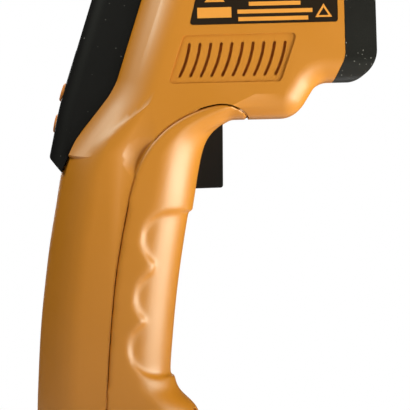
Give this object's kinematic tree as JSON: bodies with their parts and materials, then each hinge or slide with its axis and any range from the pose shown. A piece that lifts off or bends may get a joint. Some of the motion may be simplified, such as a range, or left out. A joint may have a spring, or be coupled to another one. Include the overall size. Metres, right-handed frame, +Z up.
{
  "type": "infrared thermometer",
  "caption": "Pistol-grip infrared thermometer with rear display, trigger, nose lens and laser, and a swinging battery door in the grip.",
  "frame": {"origin": "centre of the flat base of the grip", "axes": "+X towards the nose, +Z up along the grip, +Y to the left"},
  "size_m": [0.1036, 0.043, 0.1532],
  "materials": {
    "housing": "satin moulded",
    "door": "satin moulded",
    "bezel": "satin moulded",
    "nose": "satin moulded",
    "trigger": "satin moulded",
    "key": "satin",
    "label": "printed film",
    "clear": "clear",
    "lens": "milky grooved",
    "inner_black": "matte",
    "inner_white": "matte",
    "lcd": "grey green",
    "diffuser": "milky",
    "strip": "conductive rubber",
    "board": "solder mask",
    "chip": "moulded",
    "tray": "matte",
    "cell": "wrapped",
    "nickel": "nickel plated",
    "steel": "drawn wire",
    "screw": "black oxide",
    "can": "gold and nickel can",
    "brass": "turned",
    "lead_red": "pvc",
    "lead_black": "pvc",
    "lead_grey": "pvc"
  },
  "bodies": {
    "body": {"housing_right": "housing", "housing_left": "housing", "display_bezel": "bezel", "nose_ring": "nose", "label_right": "label", "label_left": "label", "display_window": "clear", "fresnel_lens": "lens", "laser_window": "clear", "lens_clamp_ring": "inner_black", "optics_tube": "inner_black", "lcd_frame": "inner_white", "lcd_glass": "lcd", "backlight": "diffuser", "contact_strips": "strip", "main_board": "board", "sensor_board": "board", "switch_board": "board", "board_chips": "chip", "key_switches": "chip", "trigger_switch": "chip", "buzzer": "chip", "battery_tray": "tray", "battery_1": "cell", "battery_2": "cell", "battery_contacts": "nickel", "battery_springs": "nickel", "trigger_spring": "steel", "trigger_pin": "steel", "door_hinge_pin": "steel", "housing_screws": "screw", "thermopile_sensor": "can", "laser_module": "brass", "battery_lead_red": "lead_red", "battery_lead_black": "lead_black", "sensor_lead": "lead_grey", "laser_lead": "lead_red", "switch_lead": "lead_grey", "buzzer_lead": "lead_black"},
    "trigger": {"trigger": "trigger"},
    "door": {"battery_door": "door"},
    "key_a": {"key_upper_right": "key"},
    "key_b": {"key_upper_left": "key"},
    "key_c": {"key_lower": "key"}
  },
  "joints": [
    {"name": "trigger_pull", "type": "hinge", "parent": "body", "child": "trigger", "pos_m": [0.0295, 0, 0.1062], "axis": [0, 1, 0], "range_deg": [0, 7], "stiffness_Nm_per_rad": 0.35, "springref_deg": -5.73, "deforming": ["trigger_spring"]},
    {"name": "door_swing", "type": "hinge", "parent": "body", "child": "door", "pos_m": [0.0196, 0, 0.0072], "axis": [0, 1, 0], "range_deg": [0, 75]},
    {"name": "key_a_press", "type": "slide", "parent": "body", "child": "key_a", "axis": [0.9498, 0, -0.3127], "range_m": [0, 0.0007], "stiffness_N_per_m": 500, "springref_m": -0.0005},
    {"name": "key_b_press", "type": "slide", "parent": "body", "child": "key_b", "axis": [0.9498, 0, -0.3127], "range_m": [0, 0.0007], "stiffness_N_per_m": 500, "springref_m": -0.0005},
    {"name": "key_c_press", "type": "slide", "parent": "body", "child": "key_c", "axis": [0.977, 0, -0.2133], "range_m": [0, 0.0007], "stiffness_N_per_m": 500, "springref_m": -0.0005}
  ]
}
